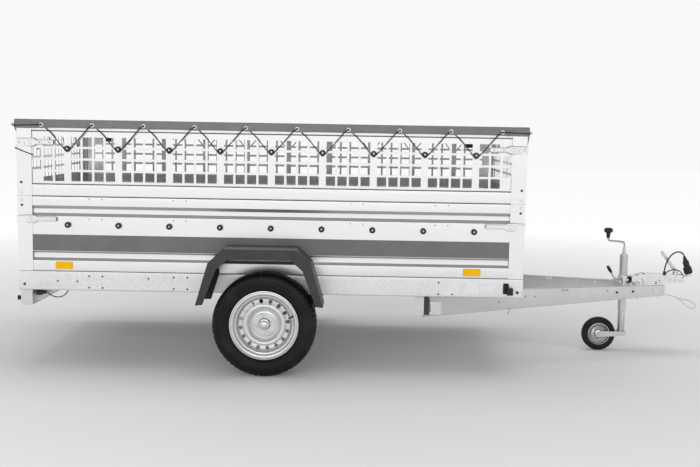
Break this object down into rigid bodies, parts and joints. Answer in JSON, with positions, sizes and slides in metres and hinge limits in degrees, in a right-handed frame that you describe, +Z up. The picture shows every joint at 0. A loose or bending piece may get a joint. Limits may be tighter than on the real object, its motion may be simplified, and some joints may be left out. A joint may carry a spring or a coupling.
{
  "type": "livestock trailer",
  "caption": "Single-axle galvanised box trailer with ribbed boards, mesh extension sides, a laced flat cover, V drawbar, ball coupling and jockey wheel.",
  "frame": {"origin": "on the ground, under the middle of the trailer's box measured without its cables and plug", "axes": "+X forward towards the coupling, +Y to the trailer's left, +Z up"},
  "size_m": [3.8752, 1.72, 1.3265],
  "materials": {
    "galvanised": "hot-dip galvanised, fine spangle",
    "zinc_sheet": "bright zinc-coated sheet, satin",
    "zinc_plate": "electroplated zinc, semi-bright",
    "plywood": "film-faced plywood",
    "black_plastic": "moulded",
    "guard_plastic": "grained",
    "tyre_rubber": "matt",
    "wheel_silver": "silver paint",
    "cover_cloth": "coated polyester sheet, grey",
    "elastic_cord": "braided elastic cord",
    "wire_steel": "stranded wire",
    "reflector_amber": "prismatic reflector",
    "lamp_red": "ribbed lens",
    "lamp_clear": "ribbed lens",
    "decal_grey": "dark grey film, satin",
    "label_white": "blank film label",
    "dark_bolt": "blackened fastener"
  },
  "bodies": {
    "root": {"rail_left": "galvanised", "rail_right": "galvanised", "cross_front": "galvanised", "cross_rear": "galvanised", "floor_panel": "plywood", "drawbar_left": "galvanised", "drawbar_right": "galvanised", "drawbar_cross": "galvanised", "coupling_body": "zinc_plate", "axle_beam": "galvanised", "mudguard_left": "guard_plastic", "mudguard_right": "guard_plastic", "side_board_left": "zinc_sheet", "side_board_right": "zinc_sheet", "post_front_left": "zinc_sheet", "post_front_right": "zinc_sheet", "post_rear_left": "zinc_sheet", "post_rear_right": "zinc_sheet", "mesh_board_left": "zinc_sheet", "mesh_board_right": "zinc_sheet", "rear_lamp_left": "black_plastic", "rear_lamp_right": "black_plastic", "marker_front_left": "black_plastic", "marker_front_right": "black_plastic", "jockey_clamp": "zinc_plate", "cover_top": "cover_cloth", "cover_flap_front": "cover_cloth", "cover_flap_rear": "cover_cloth", "cover_cord_left": "elastic_cord", "cover_cord_right": "elastic_cord", "cover_cord_front": "elastic_cord", "cover_cord_rear": "elastic_cord", "plug": "black_plastic", "plug_cable": "black_plastic", "safety_cable": "wire_steel"},
    "gate_front": {"gate_front": "zinc_sheet"},
    "gate_rear": {"gate_rear": "zinc_sheet"},
    "mesh_gate_front": {"mesh_gate_front": "zinc_sheet"},
    "mesh_gate_rear": {"mesh_gate_rear": "zinc_sheet"},
    "latch_lower_front_left": {"latch_lower_front_left": "zinc_plate"},
    "latch_lower_front_right": {"latch_lower_front_right": "zinc_plate"},
    "latch_lower_rear_left": {"latch_lower_rear_left": "zinc_plate"},
    "latch_lower_rear_right": {"latch_lower_rear_right": "zinc_plate"},
    "latch_upper_front_left": {"latch_upper_front_left": "zinc_plate"},
    "latch_upper_front_right": {"latch_upper_front_right": "zinc_plate"},
    "latch_upper_rear_left": {"latch_upper_rear_left": "zinc_plate"},
    "latch_upper_rear_right": {"latch_upper_rear_right": "zinc_plate"},
    "arm_left": {"arm_left": "galvanised"},
    "arm_right": {"arm_right": "galvanised"},
    "wheel_left": {"tyre_left": "tyre_rubber", "rim_left": "wheel_silver"},
    "wheel_right": {"tyre_right": "tyre_rubber", "rim_right": "wheel_silver"},
    "coupling_handle": {"coupling_handle": "zinc_plate"},
    "clamp_lever": {"clamp_lever": "zinc_plate"},
    "jockey_tube": {"jockey_tube": "galvanised"},
    "jockey_inner": {"jockey_inner": "galvanised"},
    "jockey_fork": {"jockey_fork": "galvanised"},
    "jockey_wheel": {"jockey_wheel": "tyre_rubber"},
    "crank": {"crank": "zinc_plate"}
  },
  "joints": [
    {"name": "gate_rear_drop", "type": "hinge", "parent": "root", "child": "gate_rear", "pos_m": [-1.905, 0, 0.52], "axis": [0, -1, 0], "range_deg": [0, 170]},
    {"name": "gate_front_drop", "type": "hinge", "parent": "root", "child": "gate_front", "pos_m": [0.813, 0, 0.52], "axis": [0, 1, 0], "range_deg": [0, 100]},
    {"name": "mesh_gate_rear_drop", "type": "hinge", "parent": "root", "child": "mesh_gate_rear", "pos_m": [-1.905, 0, 0.921], "axis": [0, 1, 0], "range_deg": [-165, 0], "deforming": ["cover_flap_rear", "cover_cord_rear"]},
    {"name": "mesh_gate_front_drop", "type": "hinge", "parent": "root", "child": "mesh_gate_front", "pos_m": [0.813, 0, 0.921], "axis": [0, -1, 0], "range_deg": [-165, 0], "deforming": ["cover_flap_front", "cover_cord_front"]},
    {"name": "latch_lower_front_left_turn", "type": "hinge", "parent": "root", "child": "latch_lower_front_left", "pos_m": [0.737, 0.66, 0.795], "axis": [0, -1, 0], "range_deg": [0, 90]},
    {"name": "latch_lower_front_right_turn", "type": "hinge", "parent": "root", "child": "latch_lower_front_right", "pos_m": [0.737, -0.66, 0.795], "axis": [0, -1, 0], "range_deg": [0, 90]},
    {"name": "latch_lower_rear_left_turn", "type": "hinge", "parent": "root", "child": "latch_lower_rear_left", "pos_m": [-1.829, 0.66, 0.795], "axis": [0, 1, 0], "range_deg": [0, 90]},
    {"name": "latch_lower_rear_right_turn", "type": "hinge", "parent": "root", "child": "latch_lower_rear_right", "pos_m": [-1.829, -0.66, 0.795], "axis": [0, 1, 0], "range_deg": [0, 90]},
    {"name": "latch_upper_front_left_turn", "type": "hinge", "parent": "root", "child": "latch_upper_front_left", "pos_m": [0.737, 0.66, 1.204], "axis": [0, -1, 0], "range_deg": [0, 90]},
    {"name": "latch_upper_front_right_turn", "type": "hinge", "parent": "root", "child": "latch_upper_front_right", "pos_m": [0.737, -0.66, 1.204], "axis": [0, -1, 0], "range_deg": [0, 90]},
    {"name": "latch_upper_rear_left_turn", "type": "hinge", "parent": "root", "child": "latch_upper_rear_left", "pos_m": [-1.829, 0.66, 1.204], "axis": [0, 1, 0], "range_deg": [0, 90]},
    {"name": "latch_upper_rear_right_turn", "type": "hinge", "parent": "root", "child": "latch_upper_rear_right", "pos_m": [-1.829, -0.66, 1.204], "axis": [0, 1, 0], "range_deg": [0, 90]},
    {"name": "arm_left_swing", "type": "hinge", "parent": "root", "child": "arm_left", "pos_m": [-0.412, 0.664, 0.3], "axis": [0, 1, 0], "range_deg": [-12, 12], "stiffness_Nm_per_rad": 2500, "springref_deg": -4.01},
    {"name": "arm_right_swing", "type": "hinge", "parent": "root", "child": "arm_right", "pos_m": [-0.412, -0.664, 0.3], "axis": [0, 1, 0], "range_deg": [-12, 12], "stiffness_Nm_per_rad": 2500, "springref_deg": -4.01},
    {"name": "wheel_left_spin", "type": "hinge", "parent": "arm_left", "child": "wheel_left", "pos_m": [-0.562, 0.777, 0.2735], "axis": [0, 1, 0], "continuous": true},
    {"name": "wheel_right_spin", "type": "hinge", "parent": "arm_right", "child": "wheel_right", "pos_m": [-0.562, -0.777, 0.2735], "axis": [0, 1, 0], "continuous": true},
    {"name": "coupling_handle_lift", "type": "hinge", "parent": "root", "child": "coupling_handle", "pos_m": [1.834, 0, 0.482], "axis": [0, 1, 0], "range_deg": [-48, 20]},
    {"name": "clamp_lever_turn", "type": "hinge", "parent": "root", "child": "clamp_lever", "pos_m": [1.498, -0.05, 0.444], "axis": [0, 1, 0], "range_deg": [-45, 90]},
    {"name": "jockey_tube_slide", "type": "slide", "parent": "root", "child": "jockey_tube", "axis": [0, 0, 1], "range_m": [-0.1, 0.13]},
    {"name": "jockey_extend", "type": "slide", "parent": "jockey_tube", "child": "jockey_inner", "axis": [0, 0, 1], "range_m": [-0.12, 0.07]},
    {"name": "crank_turn", "type": "hinge", "parent": "jockey_tube", "child": "crank", "pos_m": [1.519, 0, 0.6], "axis": [0, 0, 1], "range_deg": [-4330, 2530]},
    {"name": "jockey_swivel", "type": "hinge", "parent": "jockey_inner", "child": "jockey_fork", "pos_m": [1.519, 0, 0.118], "axis": [0, 0, 1], "continuous": true},
    {"name": "jockey_wheel_spin", "type": "hinge", "parent": "jockey_fork", "child": "jockey_wheel", "pos_m": [1.383, 0, 0.1], "axis": [0, 1, 0], "continuous": true}
  ],
  "couplings": [
    {"joint": "crank_turn", "follows": "jockey_extend", "rad_per_m": 628.32}
  ]
}
